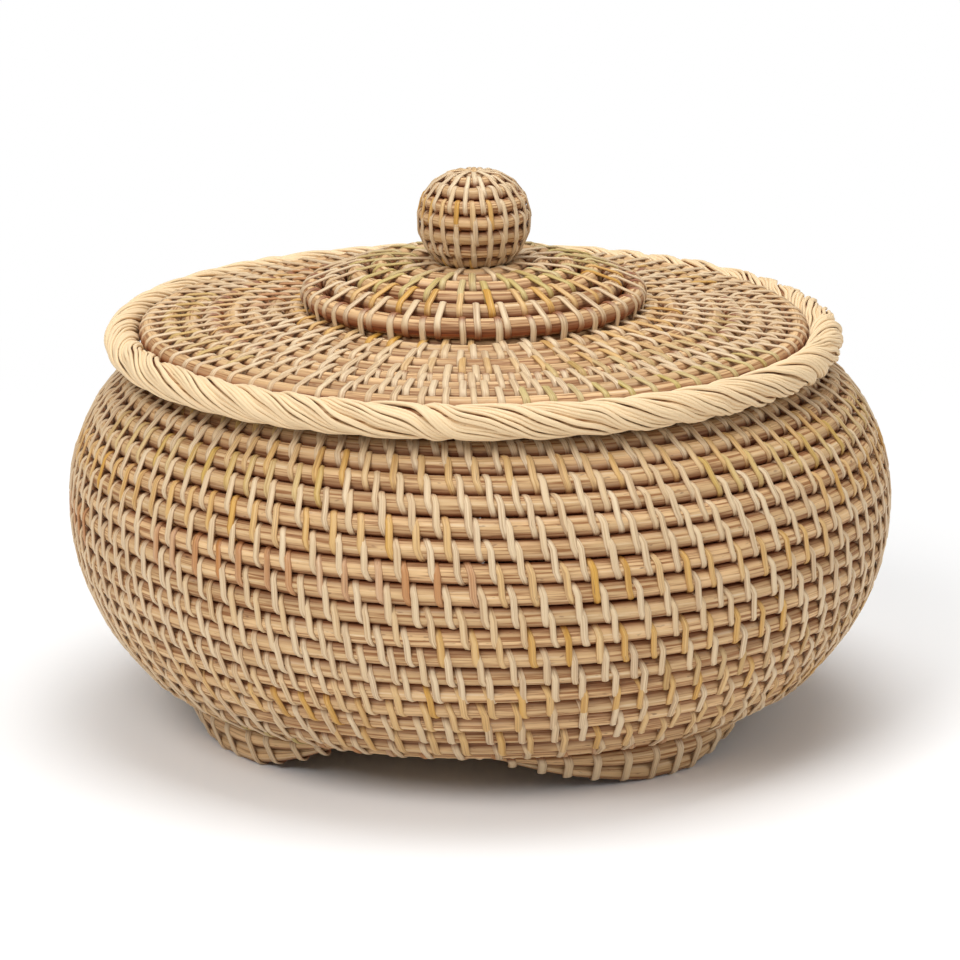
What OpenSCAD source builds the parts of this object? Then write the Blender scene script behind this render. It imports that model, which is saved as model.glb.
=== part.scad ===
// Round coiled wicker basket with four feet and a lift-off lid.
// Every course is a rattan rod bound to the next one by strips of split cane.
// Origin: middle of the basket on the surface it stands on. +Z up, front towards -Y.

/* [Cane] */
// Diameter of the rod that the basket is coiled from
rod_d = 6.7; // [5.6:0.1:8]
// Thickness of the strips that bind the rods
strip_t = 0.75; // [0.5:0.05:0.9]
// Width of the strips
strip_w = 2.8; // [1.5:0.1:3.4]
// Play between a strip and the rod it goes round
strip_play = 0.05; // [0.02:0.01:0.1]

/* [Wall] */
// Outside diameter of the basket at its belly
belly_d = 300; // [230:1:420]
// Courses above the belly course, up to the mouth
courses_above = 9; // [7:1:11]
// Courses below the belly course, down to the lowest one
courses_below = 11; // [8:1:13]
// Slope of the first step below the belly, where 90 is upright
belly_slope = 90.6; // [85:0.1:95]
// Turn of the wall from course to course on the shoulder
shoulder_turn = 6.9; // [3:0.1:9]
// Courses of the shoulder above the belly
shoulder_courses = 4; // [2:1:6]
// Turn from course to course near the mouth
mouth_turn = 10.8; // [6:0.1:13]
// Upward angle of the last step, which raises the seat of the lid
seat_rise = 38; // [20:1:50]
// Turn from course to course below the belly
belly_turn = 5.6; // [3:0.1:6.5]
// Courses over which the wall turns at that rate
belly_courses = 8; // [5:1:9]
// Turn from course to course over the hip
hip_turn = 2.3; // [1:0.1:4]
// Turn from course to course of the last two courses, into the base
base_turn = 16.5; // [10:0.5:18]
// Places for strips round each pair of wall courses
wall_places = 16; // [12:4:24]
// One of so many of those places holds a modelled strip
wall_thinning = 2; // [1:1:2]
// How far each row of strips sits past the row before, as a share of their spacing
strip_step = 0.35; // [0.3:0.05:0.35]

/* [Feet] */
// Directions of the feet, from +X towards +Y
foot_directions = [-56, 36, 122, 210];
// Lean of a foot, inwards from top to bottom
foot_lean = 22; // [5:1:25]
// Spread of a foot's upper rod round the base
foot_spread = 62; // [50:1:80]
// How much shorter the lower rod is at each end
foot_taper = 7; // [5:1:15]
// Depth worn off the strips where a foot stands
foot_wear = 0.15; // [0.05:0.05:0.3]

/* [Lid] */
// How far the lid reaches out past the middle of the mouth course
lid_overhang = 26.3; // [20:0.5:34]
// Diameter of the rolled rim, over its wrapping
rim_d = 12.2; // [10:0.1:15]
// Thickness of the cane wrapped round the rim
rim_wrap_t = 0.9; // [0.6:0.1:1.4]
// Turns of wrapping modelled round the rim
rim_turns = 40; // [24:4:60]
// Gap between one turn of wrapping and the next, as an angle
rim_turn_gap = 0.15; // [0.1:0.05:0.5]
// Drop of the rim's middle below the first lid course
rim_drop = 2.6; // [0:0.1:4]
// Rise of the lid towards its middle, in degrees
lid_slope = 5.8; // [2:0.1:9]
// Free space between the lid and the mouth it lies on
seat_gap = 0.15; // [0.1:0.05:0.6]
// Free space between the locating course and the mouth, when the lid is centred
locating_gap = 2.6; // [2.5:0.1:3.5]
// Thickness of the ties that hold the locating course, which pass between two lid courses
tie_t = 0.3; // [0.2:0.05:0.35]
// How far the lid lies off centre within that play, towards -X
lid_shift = 2.2; // [0:0.1:2.2]
// Strips modelled round each pair of lid courses
lid_strips = 8; // [8:4:16]

/* [Raised disc] */
// Outside diameter of the disc under the knob
disc_d = 125.6; // [100:1:150]
// Slopes of the disc from its edge inwards, after which it is level
disc_slopes = [26, 21, 12, 4];
// Inward lean of the disc's edge course over the lid course that carries it
disc_lean = 12; // [0:1:25]
// Strips modelled round each pair of disc courses
disc_strips = 8; // [4:4:16]

/* [Knob] */
// Diameter of the rod that the knob is coiled from
knob_rod_d = 4.7; // [4:0.1:5]
// Thickness of the knob's strips
knob_strip_t = 0.6; // [0.4:0.05:0.7]
// Width of the knob's strips
knob_strip_w = 2; // [1.5:0.1:2.6]
// Outside diameter of the neck, over its strips
neck_d = 22; // [20:0.5:28]
// Height of the neck course above the disc's inner course
neck_rise = 2.5; // [0:0.5:3]
// Headings of the knob's courses from the neck up, from level outwards
knob_headings = [44, 50, 68, 87, 104, 127, 150, 173];
// Strips modelled round each pair of knob courses
knob_strips = 6; // [4:2:8]

/* [Hidden] */
$fn = 48;
rod_r = rod_d / 2;
bound_r = rod_r + strip_play + strip_t;      // over the binding
pitch = rod_d + strip_t + 2 * strip_play;    // from course to course
knob_bound_r = knob_rod_d / 2 + strip_play + knob_strip_t;
knob_pitch = knob_rod_d + knob_strip_t + 2 * strip_play;
flat_share = 0.95;          // part of the widest flat strip that is used inside a small ring
side_room = 1.2;            // least spacing of strips in a row, as a share of their width
core_play = 0.1;            // between a core and the strips round it
neck_play = 0.15;           // between the neck's strips and the disc's

// A step of one pitch, on a heading measured from level outwards
function stepped(p, heading, length = pitch) = p + length * [cos(heading), sin(heading)];

// Wall courses as [radius, height] above the belly course, and below it
function slope_above(n) = n == courses_above ? seat_rise
    : belly_slope - shoulder_turn * min(n, shoulder_courses) - mouth_turn * max(0, n - shoulder_courses);
base_courses = 2;
function slope_below(n) = belly_slope + belly_turn * (min(n, belly_courses) - 1)
    + hip_turn * max(0, min(n, courses_below - base_courses) - belly_courses)
    + base_turn * max(0, n - courses_below + base_courses);
function course_above(n) = n == 0 ? [belly_d / 2 - bound_r, 0]
    : stepped(course_above(n - 1), 180 - slope_above(n));
function course_below(n) = n == 0 ? [belly_d / 2 - bound_r, 0]
    : stepped(course_below(n - 1), -slope_below(n));

// The feet hang under the lowest course; their strips set the ground
foot_upper_rel = stepped(course_below(courses_below), 270);
foot_lower_rel = stepped(foot_upper_rel, 270 - foot_lean);
ground = foot_lower_rel[1] - bound_r + foot_wear;
lift = [0, -ground];
foot_upper = foot_upper_rel + lift;
foot_lower = foot_lower_rel + lift;
course_count = courses_above + 1 + courses_below;
// Wall courses from the mouth (first) down to the lowest (last)
wall = [for (i = [0 : course_count - 1])
    (i < courses_above ? course_above(courses_above - i) : course_below(i - courses_above)) + lift];
mouth = wall[0];
lowest = wall[course_count - 1];

// Base courses, level, from the first one beside the lowest wall course to the middle
base_first = stepped(lowest, 180);
centre_share = 0.7;         // least radius of the innermost base course, in rod diameters
base_core_r = centre_share * rod_d;
base_count = floor((base_first[0] - base_core_r) / pitch) + 1;
base = [for (i = [0 : base_count - 1]) base_first - [i * pitch, 0]];
body = concat(wall, base);

// Shares of the wall's strip spacing that no strip of the lowest rows takes
last_row = course_count - 2;
tie_share = strip_step * (last_row + 0.5);
foot_shares = [0.15, 0.325, 0.5];
foot_end = 2;               // least angle from a foot's end to its outer strip
disc_tie_share = 0.7;       // place of a tie between the disc and the lid, on their strips' spacing

// Lid: its underside clears the mouth course by seat_gap, where the shifted lid comes nearest
seat_height = (2 * bound_r + seat_gap + lid_shift * sin(lid_slope)) / cos(lid_slope);
function lid_z(r) = mouth[1] + seat_height + (mouth[0] - r) * tan(lid_slope);
rim_r = rim_d / 2;
rim_centre_r = mouth[0] + lid_overhang - rim_r;
lid_first_r = rim_centre_r - rim_r - bound_r;
rim = [rim_centre_r, lid_z(lid_first_r) - rim_drop];
disc_edge_r = disc_d / 2 - bound_r;
lid_last_r = disc_edge_r - pitch * sin(disc_lean);
lid_rows = floor((lid_first_r - lid_last_r) / (pitch * cos(lid_slope)));
lid_step = (lid_first_r - lid_last_r) / lid_rows;
lid = [for (i = [0 : lid_rows]) [lid_first_r - i * lid_step, lid_z(lid_first_r - i * lid_step)]];
locating_r = mouth[0] - 2 * bound_r - locating_gap;
locating = [locating_r, lid_z(locating_r) - pitch / cos(lid_slope)];
// The lid course that the locating course is bound to
locating_host = [for (p = lid) if (abs(p[0] - locating_r) <= lid_step / 2) p][0];

// Disc: stepped on the slopes, then spread so that the last course meets the neck
disc_edge = lid[lid_rows] + pitch * [sin(disc_lean), cos(disc_lean)];
function disc_slope(k) = k < len(disc_slopes) ? disc_slopes[k] : 0;
neck_r = neck_d / 2 - knob_bound_r;
// The disc's inner course clears the neck's strips, and their slanting run up to the next course
neck_to_disc = bound_r + knob_bound_r + neck_play;
disc_inner_r = neck_r + max(sqrt(pow(neck_to_disc, 2) - pow(neck_rise, 2)),
    (neck_to_disc - neck_rise * cos(knob_headings[0])) / sin(knob_headings[0]));
function disc_run(k) = k == 0 ? 0 : disc_run(k - 1) + pitch * cos(disc_slope(k - 1));
function disc_climb(k) = k == 0 ? 0 : disc_climb(k - 1) + pitch * sin(disc_slope(k - 1));
disc_span = disc_edge[0] - disc_inner_r;
function disc_rows_from(k) = disc_run(k + 1) > disc_span ? k : disc_rows_from(k + 1);
disc_rows = disc_rows_from(1);
disc = [for (k = [0 : disc_rows])
    disc_edge + [-disc_run(k) * disc_span / disc_run(disc_rows), disc_climb(k)]];

// Knob: courses from the neck up, and the top course that closes it
neck = [neck_r, disc[disc_rows][1] + neck_rise];
function knob_course(k) = k == 0 ? neck
    : stepped(knob_course(k - 1), knob_headings[k - 1], knob_pitch);
knob = [for (k = [0 : len(knob_headings)]) knob_course(k)];
stem_r = neck_r - knob_bound_r - core_play;

// Groups of strips on the wall, as first and last pair of courses
mouth_pairs = [0, 1];
shoulder_pairs = [2, courses_above - 1];
belly_pairs = [courses_above, courses_above + 4];
hip_pairs = [courses_above + 5, last_row];
base_pairs = [last_row + 1, last_row + base_count];

function two_digits(i) = i < 10 ? str("0", i) : str(i);
function course_name(i) = str("wall_coil_", two_digits(i + 1));
function foot_name(i, piece) = str("foot_", i + 1, "_", piece);
FOOT_PIECES = ["upper_rod", "lower_rod", "binding"];

CORE_COLOUR = [0.80, 0.64, 0.45];
STRIP_COLOUR = [0.87, 0.74, 0.50];
RIM_COLOUR = [0.85, 0.66, 0.40];

// A rod bent into a full ring with its middle at [radius, height]
module ring(p, d = rod_d) {
    rotate_extrude() translate(p) circle(d = d);
}

// Half a turn of a strip round one rod, from a heading
module half_turn(start, r, t, w) {
    rotate_extrude(angle = 180, start = start) translate([r, 0]) square([t, w]);
}

// One strip bound round two rods, at a direction round the basket
module strip(p, q, direction, r = rod_r, t = strip_t, w = strip_w) {
    inner = r + strip_play;
    run = norm(q - p);
    heading = atan2(q[1] - p[1], q[0] - p[0]);
    rotate(direction) rotate([90, 0, 0]) translate(p) rotate(heading) translate([0, 0, -w / 2]) {
        half_turn(90, inner, t, w);
        translate([run, 0, 0]) half_turn(270, inner, t, w);
        for (side = [-inner - t, inner]) translate([0, side, 0]) cube([run, t, w]);
    }
}

// Half as many strips, and half again, until they fit side by side at a radius
function fitting(count, r, w) = count < 1 ? 0 : count * w * side_room <= 2 * PI * r ? count
    : fitting(floor(count / 2), r, w);

// Width of a flat strip that clears a ring of this inner radius by less than its play, inside the ring
function lying_flat(r) = 2 * sqrt(2 * r * strip_play + pow(strip_play, 2)) * flat_share;

// Direction of a place in a row, on the spacing that all rows share
function strip_direction(place, row, count) = (place + strip_step * row) * 360 / count;

// Strips round each pair of neighbouring courses; thin leaves out all but one strip in thin
module binding(courses, pairs, count, thin = 1, r = rod_r, t = strip_t, w = strip_w) {
    for (i = [pairs[0] : 1 : pairs[1]]) {
        inner_r = min(courses[i][0], courses[i + 1][0]) - r - strip_play - t;
        placed = fitting(count / thin, inner_r, w);
        width = min(w, lying_flat(inner_r + t));
        for (k = [0 : 1 : placed - 1])
            strip(courses[i], courses[i + 1], strip_direction(k * count / placed, i, count), r, t, width);
    }
}

module wall_coil(i) { color(CORE_COLOUR) ring(wall[i]); }
module mouth_binding() { color(STRIP_COLOUR) binding(body, mouth_pairs, wall_places, wall_thinning); }
module shoulder_binding() { color(STRIP_COLOUR) binding(body, shoulder_pairs, wall_places, wall_thinning); }
module belly_binding() { color(STRIP_COLOUR) binding(body, belly_pairs, wall_places, wall_thinning); }
module hip_binding() { color(STRIP_COLOUR) binding(body, hip_pairs, wall_places, wall_thinning); }

module base_coils() { color(CORE_COLOUR) for (p = base) ring(p); }

// Start of the base coil, a short plug of rod in its middle
module base_centre_plug() {
    plug_r = base[base_count - 1][0] - bound_r - core_play;
    color(CORE_COLOUR) translate([0, 0, base_first[1] - rod_r]) cylinder(r = plug_r, h = rod_d);
}

module base_binding() { color(STRIP_COLOUR) binding(body, base_pairs, wall_places, wall_thinning); }

// One rod of a foot, an arc round the basket
module foot_rod(i, p, spread) {
    start = foot_directions[i] - spread / 2;
    color(CORE_COLOUR) rotate_extrude(angle = spread, start = start) translate(p) circle(d = rod_d);
}

// Directions within a foot that lie on a share of the wall's strip spacing
function foot_places(i, share) = let (spacing = 360 / wall_places, half = foot_spread / 2 - foot_taper - foot_end)
    [for (k = [-wall_places : 2 * wall_places]) let (a = (k + share) * spacing)
        if (abs(a - foot_directions[i]) < half) a];

// Strips that bind the foot's rods together, and strips that tie it to the basket
module foot_binding(i) {
    color(STRIP_COLOUR) {
        for (share = foot_shares) for (a = foot_places(i, share)) worn() strip(foot_upper, foot_lower, a);
        for (a = foot_places(i, tie_share % 1)) strip(lowest, foot_upper, a);
    }
}

// Cuts off what lies below the ground
module worn() {
    below = 2 * foot_lower[0];
    difference() {
        children();
        translate([-below, -below, -rod_d]) cube([2 * below, 2 * below, rod_d]);
    }
}

module lid_rim_core() { color(CORE_COLOUR) ring(rim, rim_d - 2 * rim_wrap_t - 2 * strip_play); }

// Cane wrapped round the rim, turn beside turn
module lid_rim_wrap() {
    turn = 360 / rim_turns - rim_turn_gap;
    color(RIM_COLOUR) for (k = [0 : rim_turns - 1])
        rotate_extrude(angle = turn, start = k * 360 / rim_turns) translate(rim) difference() {
            circle(d = rim_d);
            circle(d = rim_d - 2 * rim_wrap_t);
        }
}

module lid_coils() { color(CORE_COLOUR) for (p = lid) ring(p); }
module lid_binding() { color(STRIP_COLOUR) binding(lid, [0, lid_rows - 1], lid_strips); }
module lid_locating_coil() { color(CORE_COLOUR) ring(locating); }

// Ties between the locating course and the lid course over it, clear of the lid's own strips
module lid_locating_binding() {
    count = 2 * lid_strips;
    color(STRIP_COLOUR) for (k = [0 : count - 1])
        strip(locating_host, locating, (k + 0.5) * 360 / count, rod_r, tie_t);
}

module disc_edge_coil() { color(CORE_COLOUR) ring(disc_edge); }
module disc_coils() { color(CORE_COLOUR) for (k = [1 : disc_rows]) ring(disc[k]); }

// The disc's own strips, and those that bind its edge down to the lid
module disc_binding() {
    color(STRIP_COLOUR) {
        binding(disc, [0, disc_rows - 1], disc_strips);
        for (k = [0 : disc_strips - 1])
            strip(lid[lid_rows], disc_edge, (k + disc_tie_share) * 360 / disc_strips);
    }
}

// Wooden core that the knob is coiled round, with its stem down to the disc's middle
module knob_core() {
    bottom = disc[disc_rows][1] - rod_r;
    low = knob[3][1];
    high = knob[5][1];
    belly_r = knob[2][0] - knob_bound_r - core_play;
    color(CORE_COLOUR) {
        translate([0, 0, bottom]) cylinder(r = stem_r, h = high - bottom);
        translate([0, 0, low]) cylinder(r = belly_r, h = high - low);
    }
}

module neck_coil() { color(CORE_COLOUR) ring(neck, knob_rod_d); }
module knob_coils() { color(CORE_COLOUR) for (k = [1 : len(knob_headings)]) ring(knob[k], knob_rod_d); }
module knob_binding() {
    color(STRIP_COLOUR)
        binding(knob, [0, len(knob_headings) - 1], knob_strips, 1, knob_rod_d / 2, knob_strip_t, knob_strip_w);
}

// The lid as it lies on the mouth, off centre
module as_it_lies() { translate([-lid_shift, 0, 0]) children(); }

for (i = [0 : course_count - 1]) wall_coil(i);
mouth_binding();
shoulder_binding();
belly_binding();
hip_binding();
base_coils();
base_centre_plug();
base_binding();
for (i = [0 : len(foot_directions) - 1]) {
    foot_rod(i, foot_upper, foot_spread);
    foot_rod(i, foot_lower, foot_spread - 2 * foot_taper);
    foot_binding(i);
}
as_it_lies() lid_rim_core();
as_it_lies() lid_rim_wrap();
as_it_lies() lid_coils();
as_it_lies() lid_binding();
as_it_lies() lid_locating_coil();
as_it_lies() lid_locating_binding();
as_it_lies() disc_edge_coil();
as_it_lies() disc_coils();
as_it_lies() disc_binding();
as_it_lies() knob_core();
as_it_lies() neck_coil();
as_it_lies() knob_coils();
as_it_lies() knob_binding();
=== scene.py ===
"""Looks of a round coiled wicker basket with four feet and a lift-off lid.

Rods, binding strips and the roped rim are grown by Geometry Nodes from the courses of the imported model,
so that every piece lies where the model has it. Lengths are in metres and angles in radians.
"""

import math

import bmesh
import bpy
import numpy as np
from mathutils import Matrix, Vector


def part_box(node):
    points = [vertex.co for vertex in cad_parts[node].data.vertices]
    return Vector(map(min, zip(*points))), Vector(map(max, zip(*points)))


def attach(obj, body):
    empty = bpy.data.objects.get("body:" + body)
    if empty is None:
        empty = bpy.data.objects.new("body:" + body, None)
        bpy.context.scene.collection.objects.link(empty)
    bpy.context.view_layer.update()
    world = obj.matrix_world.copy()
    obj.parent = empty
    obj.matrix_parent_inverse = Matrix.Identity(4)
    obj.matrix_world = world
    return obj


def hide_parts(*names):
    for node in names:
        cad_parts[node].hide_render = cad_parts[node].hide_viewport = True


bl_info = {
    "name": "Coiled wicker basket",
    "version": (1, 0, 0),
    "blender": (4, 5, 0),
    "location": "3D View > Sidebar > Basket",
    "description": "Grows the rods, binding strips and rim of a coiled basket round its packed model",
    "category": "Object",
}

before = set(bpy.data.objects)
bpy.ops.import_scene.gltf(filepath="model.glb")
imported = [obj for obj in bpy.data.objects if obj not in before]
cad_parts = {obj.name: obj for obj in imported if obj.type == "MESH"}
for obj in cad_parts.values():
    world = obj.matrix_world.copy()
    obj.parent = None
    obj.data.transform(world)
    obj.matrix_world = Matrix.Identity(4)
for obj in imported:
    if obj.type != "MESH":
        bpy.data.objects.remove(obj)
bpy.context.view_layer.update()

TAU = math.tau
FRONT = -math.pi / 2          # direction of the front, from +X towards +Y
BACK = math.pi / 2
WELD = 1e-6                   # points nearer than this are one
KEPT_ATTRIBUTES = {"UVMap", "tone", "tint", "shade"}
ROWS_APART = 1000             # keeps the numbers of two rows' strips apart


# ---------------------------------------------------------------- the model's courses

def islands(node):
    """The points of each separate solid in a node of the model."""
    mesh = bmesh.new()
    mesh.from_mesh(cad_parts[node].data)
    bmesh.ops.remove_doubles(mesh, verts=mesh.verts, dist=WELD)
    left = set(mesh.verts)
    found = []
    while left:
        edge_of_walk = [left.pop()]
        points = []
        while edge_of_walk:
            vert = edge_of_walk.pop()
            points.append(tuple(vert.co))
            for edge in vert.link_edges:
                other = edge.other_vert(vert)
                if other in left:
                    left.remove(other)
                    edge_of_walk.append(other)
        found.append(np.array(points))
    mesh.free()
    return found


def courses(*nodes):
    """(axis, radius, height) of every ring in the named nodes, the widest first in each node."""
    found = []
    for node in nodes:
        rings = []
        for points in islands(node):
            low, high = points.min(0), points.max(0)
            rod_radius = (high[2] - low[2]) / 2
            rings.append(((low[0] + high[0]) / 2, (high[0] - low[0]) / 2 - rod_radius, (low[2] + high[2]) / 2))
        found += sorted(rings, key=lambda ring: -ring[1])
    return [tuple(float(value) for value in ring) for ring in found]


def rod_radius_of(node):
    """Radius of the rod that a node's rings are bent from."""
    points = islands(node)[0]
    return float(points[:, 2].max() - points[:, 2].min()) / 2


def arc_of(node):
    """((axis, radius, height), first direction, sweep) of a rod that is bent to part of a ring."""
    points = np.vstack(islands(node))
    radius = np.hypot(points[:, 0], points[:, 1])
    middle = math.atan2(points[:, 1].mean(), points[:, 0].mean())
    turned = (np.arctan2(points[:, 1], points[:, 0]) - middle + math.pi) % TAU - math.pi
    height = (points[:, 2].min() + points[:, 2].max()) / 2
    place = (0.0, float(radius.min() + radius.max()) / 2, float(height))
    return place, middle + float(turned.min()), float(turned.max() - turned.min())


# ---------------------------------------------------------------- node trees as arithmetic

class Field:
    """One output of a node; arithmetic on it adds Math nodes to the same tree."""

    def __init__(self, tree, socket):
        self.tree = tree
        self.socket = socket

    def math(self, operation, *others, clamp=False):
        node = self.tree.nodes.new("ShaderNodeMath")
        node.operation = operation
        node.use_clamp = clamp
        for slot, value in zip(node.inputs, (self, *others)):
            feed(self.tree, slot, value)
        return Field(self.tree, node.outputs[0])

    def __add__(self, other): return self.math("ADD", other)
    def __radd__(self, other): return self.math("ADD", other)
    def __sub__(self, other): return self.math("SUBTRACT", other)
    def __rsub__(self, other): return (self * -1) + other
    def __mul__(self, other): return self.math("MULTIPLY", other)
    def __rmul__(self, other): return self.math("MULTIPLY", other)
    def __truediv__(self, other): return self.math("DIVIDE", other)
    def __rtruediv__(self, other): return (self ** -1) * other
    def __pow__(self, other): return self.math("POWER", other)
    def __neg__(self): return self * -1
    def clamped(self): return self.math("ADD", 0.0, clamp=True)
    def sine(self): return self.math("SINE")
    def cosine(self): return self.math("COSINE")
    def size(self): return self.math("ABSOLUTE")
    def sign(self): return self.math("SIGN")
    def floor(self): return self.math("FLOOR")
    def fraction(self): return self.math("FRACT")
    def root(self): return self.math("SQRT")
    def at_least(self, other): return self.math("MAXIMUM", other)
    def eased(self): return self * self * (3 - 2 * self)
    def towards(self, other, share): return self + (other - self) * share
    def parts(self):
        node = add(self.tree, "ShaderNodeSeparateXYZ", {0: self})
        return [Field(self.tree, output) for output in node.outputs]


def feed(tree, slot, value):
    if isinstance(value, Field):
        tree.links.new(value.socket, slot)
    else:
        slot.default_value = value


def add(tree, kind, feeds=(), **settings):
    """A new node with its settings and inputs; an input is named, or numbered where names repeat."""
    node = tree.nodes.new(kind)
    for name, value in settings.items():
        setattr(node, name, value)
    for key, value in dict(feeds).items():
        slots = [slot for slot in node.inputs if slot.enabled and slot.name == key]
        feed(tree, node.inputs[key] if isinstance(key, int) else slots[0], value)
    return node


def result(tree, kind, feeds=(), output=None, **settings):
    """The named output of a new node, or its first one in use."""
    node = add(tree, kind, feeds, **settings)
    found = [slot for slot in node.outputs if slot.enabled and output in (None, slot.name)]
    return Field(tree, found[0])


def vector(tree, x, y, z=0.0):
    return result(tree, "ShaderNodeCombineXYZ", {0: x, 1: y, 2: z})


def noise(tree, place, w, scale, detail=2.0, output="Fac", roughness=0.5):
    feeds = {"Vector": place, "W": w, "Scale": scale, "Detail": detail, "Roughness": roughness}
    return result(tree, "ShaderNodeTexNoise", feeds, output, noise_dimensions="4D")


# ---------------------------------------------------------------- growing a piece

def new_tree(name, inputs):
    """A Geometry Nodes tree with named inputs: the tree, its geometry and a Field for each input."""
    tree = bpy.data.node_groups.new(name, "GeometryNodeTree")
    tree.interface.new_socket("Geometry", in_out="INPUT", socket_type="NodeSocketGeometry")
    for title, kind in inputs.items():
        tree.interface.new_socket(title, in_out="INPUT", socket_type="NodeSocket" + kind)
    tree.interface.new_socket("Geometry", in_out="OUTPUT", socket_type="NodeSocketGeometry")
    entry = tree.nodes.new("NodeGroupInput")
    values = {title: Field(tree, entry.outputs[title]) for title in inputs}
    return tree, Field(tree, entry.outputs["Geometry"]), values


def named(tree, name, kind="FLOAT"):
    return result(tree, "GeometryNodeInputNamedAttribute", {"Name": name}, "Attribute", data_type=kind)


def stored(tree, geometry, name, value, kind="FLOAT", domain="POINT"):
    feeds = {"Geometry": geometry, "Name": name, "Value": value}
    return result(tree, "GeometryNodeStoreNamedAttribute", feeds, data_type=kind, domain=domain)


def chance(tree, low, high, number, seed):
    """A random value between low and high that belongs to a number."""
    feeds = {"Min": low, "Max": high, "ID": number, "Seed": seed}
    return result(tree, "FunctionNodeRandomValue", feeds, data_type="FLOAT")


def spread_grids(tree, points, along, around):
    """A flat grid at each point, real and in one mesh: the geometry, and how far along and around it is."""
    feeds = {"Size X": 1.0, "Size Y": 1.0, "Vertices X": along + 1, "Vertices Y": around + 1}
    grid = result(tree, "GeometryNodeMeshGrid", feeds, "Mesh")
    placed = result(tree, "GeometryNodeInstanceOnPoints", {"Points": points, "Instance": grid})
    real = result(tree, "GeometryNodeRealizeInstances", {"Geometry": placed})
    x, y, _ = result(tree, "GeometryNodeInputPosition").parts()
    real = stored(tree, real, "u", x + 0.5)
    real = stored(tree, real, "v", y + 0.5)
    return real, named(tree, "u"), named(tree, "v")


def close_up(tree, geometry, values):
    """Joins the grids' edges into closed skins and gives them their material."""
    joined = result(tree, "GeometryNodeMergeByDistance", {"Geometry": geometry, "Distance": WELD})
    smooth = result(tree, "GeometryNodeSetShadeSmooth", {"Geometry": joined, "Shade Smooth": True})
    real = result(tree, "GeometryNodeRealizeInstances", {"Geometry": smooth})
    clad = result(tree, "GeometryNodeSetMaterial", {"Geometry": real, "Material": values["Material"]})
    add(tree, "NodeGroupOutput", {"Geometry": clad})
    return tree


def strayed(tree, place, number, direction, stray, seed):
    """(axis, radius, height) of a rod's middle, a little off its course."""
    axis, radius, height = place.parts()
    round_trip = vector(tree, direction.cosine(), direction.sine())
    off_r, off_z, _ = noise(tree, round_trip, number * 3.7 + seed, 2.2, 1.0, "Color").parts()
    return axis, radius + (off_r - 0.5) * stray * 4, height + (off_z - 0.5) * stray * 4


def thinned(direction, start, sweep, tip, reach):
    """Share of a rod's thickness that is left, which falls to tip at its two ends, sooner at the first."""
    from_start = ((direction - start) / reach).clamped()
    from_end = ((start + sweep - direction) / reach * 1.45).clamped()
    shares = [share * (1.4 - share * 0.4) for share in (from_start, from_end)]
    return tip.towards(1.0, shares[0] * shares[1])


def rods_tree():
    """Rods bent to rings or arcs, one for each point."""
    tree, points, values = new_tree("Bent Rods", {
        "Rod Radius": "Float", "Stray": "Float", "Unevenness": "Float", "Segments": "Int", "Sides": "Int",
        "Tip Share": "Float", "Tip Reach": "Float", "Seed": "Int", "Material": "Material"})
    real, u, v = spread_grids(tree, points, values["Segments"], values["Sides"])
    number = named(tree, "number")
    start = named(tree, "start")
    sweep = named(tree, "sweep")
    direction = start + u * sweep
    turn = v * TAU
    place = named(tree, "from", "FLOAT_VECTOR")
    axis, radius, height = strayed(tree, place, number, direction, values["Stray"], values["Seed"])
    left = thinned(direction, start, sweep, values["Tip Share"], values["Tip Reach"])
    lumps = noise(tree, vector(tree, direction.cosine(), direction.sine()), number * 1.3 + 40, 6.0, 2.0)
    thick = values["Rod Radius"] * left * (1 + (lumps - 0.5) * values["Unevenness"])
    height = height + (1 - left) * values["Rod Radius"] * named(tree, "rise")
    closed = 1 - (u * 2 - 1).size() ** 400
    reach = radius + turn.cosine() * thick * closed
    spot = vector(tree, axis + reach * direction.cosine(), reach * direction.sine(),
                  height + turn.sine() * thick * closed)
    shaped = result(tree, "GeometryNodeSetPosition", {"Geometry": real, "Position": spot})
    pattern = vector(tree, u * sweep * radius + number * 0.37, v)
    shaped = stored(tree, shaped, "UVMap", pattern, "FLOAT2", "CORNER")
    # Painted shade, with some stain: darker on the faces of a rod that look towards its neighbours, in the creases
    # between rods.
    shaped = stored(tree, shaped, "shade", (turn - named(tree, "lay")).cosine().size() ** 3)
    shaped = stored(tree, shaped, "tint", (number * 0.618).fraction())
    shaped = stored(tree, shaped, "tone", (number * 0.377).fraction())
    return close_up(tree, shaped, values)


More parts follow.
